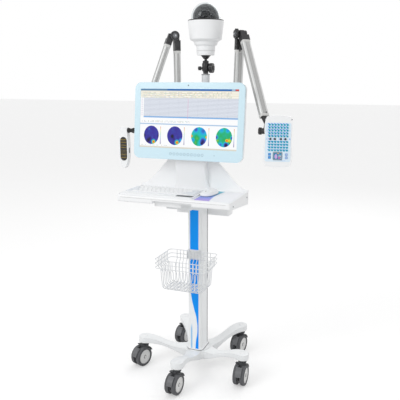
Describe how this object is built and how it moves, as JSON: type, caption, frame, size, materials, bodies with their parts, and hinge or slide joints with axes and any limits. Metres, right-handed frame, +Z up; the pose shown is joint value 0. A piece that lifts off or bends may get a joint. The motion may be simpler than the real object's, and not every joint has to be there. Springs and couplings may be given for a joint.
{
  "type": "video eeg trolley",
  "caption": "Wheeled medical cart with column, wire basket, worktop, screen, dome camera on a mast, and two jointed arms holding a lamp and an electrode box.",
  "frame": {"origin": "on the floor, on the axis of the column", "axes": "+Z up, -Y toward the user, +X to the user's right"},
  "size_m": [0.8915, 0.6158, 1.802],
  "materials": {
    "white_moulding": "satin",
    "white_paint": "satin powder coat",
    "white_wire": "coated wire",
    "castor_housing": "satin",
    "castor_wheel": "matte tyre, light grey hub",
    "pedal_grey": "satin",
    "plain_steel": "plain",
    "blue_panel": "gloss",
    "satin_tube": "satin anodised",
    "printed_pad": "printed fabric face",
    "keyboard_grey": "satin",
    "pale_cyan_bezel": "gloss",
    "screen_glass": "lit screen",
    "black_plastic": "satin",
    "clear_dome": "clear",
    "black_fitting": "satin",
    "lamp_window": "smoked window over lamps",
    "pale_blue_panel": "printed face",
    "cyan_jack": "satin",
    "small_display": "lit display"
  },
  "bodies": {
    "frame": {"castor_stems": "plain_steel", "base_star": "white_paint", "column_tube": "white_paint", "column_decor_panel": "blue_panel", "wire_basket": "white_wire", "worktop_shell": "white_moulding", "worktop_bracket": "white_paint", "rear_power_housing": "white_moulding", "keyboard": "keyboard_grey", "mouse_pad": "printed_pad", "backsplash": "white_moulding", "neck_cover": "white_moulding", "monitor_tilt_bracket": "plain_steel", "rear_crossbar": "white_paint", "mast_tube": "satin_tube"},
    "castor_1": {"castor_1_housing": "castor_housing"},
    "castor_1_wheels_body": {"castor_1_wheels": "castor_wheel"},
    "castor_1_pedal": {"castor_1_brake": "pedal_grey"},
    "castor_2": {"castor_2_housing": "castor_housing"},
    "castor_2_wheels_body": {"castor_2_wheels": "castor_wheel"},
    "castor_2_pedal": {"castor_2_brake": "pedal_grey"},
    "castor_3": {"castor_3_housing": "castor_housing"},
    "castor_3_wheels_body": {"castor_3_wheels": "castor_wheel"},
    "castor_3_pedal": {"castor_3_brake": "pedal_grey"},
    "castor_4": {"castor_4_housing": "castor_housing"},
    "castor_4_wheels_body": {"castor_4_wheels": "castor_wheel"},
    "castor_4_pedal": {"castor_4_brake": "pedal_grey"},
    "castor_5": {"castor_5_housing": "castor_housing"},
    "castor_5_wheels_body": {"castor_5_wheels": "castor_wheel"},
    "castor_5_pedal": {"castor_5_brake": "pedal_grey"},
    "monitor": {"monitor_bezel": "pale_cyan_bezel", "lcd_panel": "screen_glass", "monitor_rear_housing": "white_moulding"},
    "left_upright": {"left_upright_tube": "satin_tube", "left_upright_knuckles": "black_fitting"},
    "left_forearm": {"left_forearm_tube": "satin_tube", "left_forearm_knuckles": "black_fitting"},
    "left_knob": {"left_elbow_knob": "black_plastic"},
    "stimulator": {"stimulator_shell": "white_moulding", "stimulator_window": "lamp_window", "left_wrist_mount": "black_plastic"},
    "right_upright": {"right_upright_tube": "satin_tube", "right_upright_knuckles": "black_fitting"},
    "right_forearm": {"right_forearm_tube": "satin_tube", "right_forearm_knuckles": "black_fitting"},
    "right_knob": {"right_elbow_knob": "black_plastic"},
    "headbox": {"headbox_shell": "white_moulding", "headbox_panel": "pale_blue_panel", "headbox_jacks": "cyan_jack", "headbox_display": "small_display", "right_wrist_mount": "black_plastic"},
    "ball_head": {"ball_head_body": "black_plastic"},
    "lock_knob": {"ball_lock_knob": "black_plastic"},
    "camera": {"ball_stem": "black_plastic", "camera_housing": "white_moulding", "camera_ring": "black_plastic", "camera_dome": "clear_dome"},
    "yoke": {"camera_yoke": "black_plastic"},
    "eye": {"camera_eye": "black_plastic"},
    "mouse_body": {"mouse": "white_moulding"}
  },
  "joints": [
    {"name": "castor_1_swivel", "type": "hinge", "parent": "frame", "child": "castor_1", "pos_m": [0, -0.277, 0.121], "axis": [0, 0, 1], "continuous": true},
    {"name": "castor_1_roll", "type": "hinge", "parent": "castor_1", "child": "castor_1_wheels_body", "pos_m": [-0.00244, -0.30489, 0.05], "axis": [0.9962, -0.0872, 0], "continuous": true},
    {"name": "castor_1_brake_tread", "type": "hinge", "parent": "castor_1", "child": "castor_1_pedal", "pos_m": [-0.00244, -0.30489, 0.05], "axis": [0.9962, -0.0872, 0], "range_deg": [0, 12]},
    {"name": "castor_2_swivel", "type": "hinge", "parent": "frame", "child": "castor_2", "pos_m": [0.26344, -0.0856, 0.121], "axis": [0, 0, 1], "continuous": true},
    {"name": "castor_2_roll", "type": "hinge", "parent": "castor_2", "child": "castor_2_wheels_body", "pos_m": [0.26393, -0.11359, 0.05], "axis": [0.9998, 0.0175, 0], "continuous": true},
    {"name": "castor_2_brake_tread", "type": "hinge", "parent": "castor_2", "child": "castor_2_pedal", "pos_m": [0.26393, -0.11359, 0.05], "axis": [0.9998, 0.0175, 0], "range_deg": [0, 12]},
    {"name": "castor_3_swivel", "type": "hinge", "parent": "frame", "child": "castor_3", "pos_m": [0.16282, 0.2241, 0.121], "axis": [0, 0, 1], "continuous": true},
    {"name": "castor_3_roll", "type": "hinge", "parent": "castor_3", "child": "castor_3_wheels_body", "pos_m": [0.15795, 0.19652, 0.05], "axis": [0.9848, -0.1736, 0], "continuous": true},
    {"name": "castor_3_brake_tread", "type": "hinge", "parent": "castor_3", "child": "castor_3_pedal", "pos_m": [0.15795, 0.19652, 0.05], "axis": [0.9848, -0.1736, 0], "range_deg": [0, 12]},
    {"name": "castor_4_swivel", "type": "hinge", "parent": "frame", "child": "castor_4", "pos_m": [-0.16282, 0.2241, 0.121], "axis": [0, 0, 1], "continuous": true},
    {"name": "castor_4_roll", "type": "hinge", "parent": "castor_4", "child": "castor_4_wheels_body", "pos_m": [-0.16671, 0.19637, 0.05], "axis": [0.9903, -0.1392, 0], "continuous": true},
    {"name": "castor_4_brake_tread", "type": "hinge", "parent": "castor_4", "child": "castor_4_pedal", "pos_m": [-0.16671, 0.19637, 0.05], "axis": [0.9903, -0.1392, 0], "range_deg": [0, 12]},
    {"name": "castor_5_swivel", "type": "hinge", "parent": "frame", "child": "castor_5", "pos_m": [-0.26344, -0.0856, 0.121], "axis": [0, 0, 1], "continuous": true},
    {"name": "castor_5_roll", "type": "hinge", "parent": "castor_5", "child": "castor_5_wheels_body", "pos_m": [-0.27209, -0.11223, 0.05], "axis": [0.9511, -0.309, 0], "continuous": true},
    {"name": "castor_5_brake_tread", "type": "hinge", "parent": "castor_5", "child": "castor_5_pedal", "pos_m": [-0.27209, -0.11223, 0.05], "axis": [0.9511, -0.309, 0], "range_deg": [0, 12]},
    {"name": "monitor_tilt", "type": "hinge", "parent": "frame", "child": "monitor", "pos_m": [0, -0.06658, 1.25364], "axis": [1, 0, 0], "range_deg": [-12, 0]},
    {"name": "left_arm_swivel", "type": "hinge", "parent": "frame", "child": "left_upright", "pos_m": [-0.15, 0.115, 1.182], "axis": [-0.0157, 0, 0.9999], "range_deg": [-55, 12]},
    {"name": "left_elbow", "type": "hinge", "parent": "left_upright", "child": "left_forearm", "pos_m": [-0.16917, 0.1057, 1.65276], "axis": [-0.6197, 0.7848, -0.0097], "range_deg": [-15, 70]},
    {"name": "left_elbow_knob_turn", "type": "hinge", "parent": "left_upright", "child": "left_knob", "pos_m": [-0.16917, 0.1057, 1.65276], "axis": [0.6197, -0.7848, 0.0097], "range_deg": [-90, 90]},
    {"name": "stimulator_tilt", "type": "hinge", "parent": "left_forearm", "child": "stimulator", "pos_m": [-0.349, -0.02, 1.2], "axis": [1, 0, 0], "range_deg": [-60, 60]},
    {"name": "right_arm_swivel", "type": "hinge", "parent": "frame", "child": "right_upright", "pos_m": [0.15, 0.115, 1.182], "axis": [0.0332, 0, 0.9995], "range_deg": [-10, 60]},
    {"name": "right_elbow", "type": "hinge", "parent": "right_upright", "child": "right_forearm", "pos_m": [0.17594, 0.10412, 1.6524], "axis": [-0.725, -0.6884, 0.024], "range_deg": [-25, 60]},
    {"name": "right_elbow_knob_turn", "type": "hinge", "parent": "right_upright", "child": "right_knob", "pos_m": [0.17594, 0.10412, 1.6524], "axis": [-0.725, -0.6884, 0.024], "range_deg": [-25, 60]},
    {"name": "headbox_tilt", "type": "hinge", "parent": "right_forearm", "child": "headbox", "pos_m": [0.345, -0.082, 1.225], "axis": [1, 0, 0], "range_deg": [-20, 35]},
    {"name": "ball_head_pan", "type": "hinge", "parent": "frame", "child": "ball_head", "pos_m": [0, 0.1, 1.47235], "axis": [0, 0, 1], "continuous": true},
    {"name": "camera_tilt", "type": "hinge", "parent": "ball_head", "child": "camera", "pos_m": [0, 0.1, 1.524], "axis": [1, 0, 0], "range_deg": [-12, 12]},
    {"name": "lock_knob_turn", "type": "hinge", "parent": "ball_head", "child": "lock_knob", "pos_m": [0.02, 0.1, 1.5], "axis": [1, 0, 0], "range_deg": [-90, 180]},
    {"name": "eye_pan", "type": "hinge", "parent": "camera", "child": "yoke", "pos_m": [0, 0.1, 1.644], "axis": [0, 0, 1], "continuous": true},
    {"name": "eye_tilt", "type": "hinge", "parent": "yoke", "child": "eye", "pos_m": [0, 0.1, 1.734], "axis": [1, 0, 0], "range_deg": [-20, 20]},
    {"name": "mouse_slide", "type": "slide", "parent": "frame", "child": "mouse_body", "axis": [1, 0, 0], "range_m": [0, 0.09]}
  ]
}
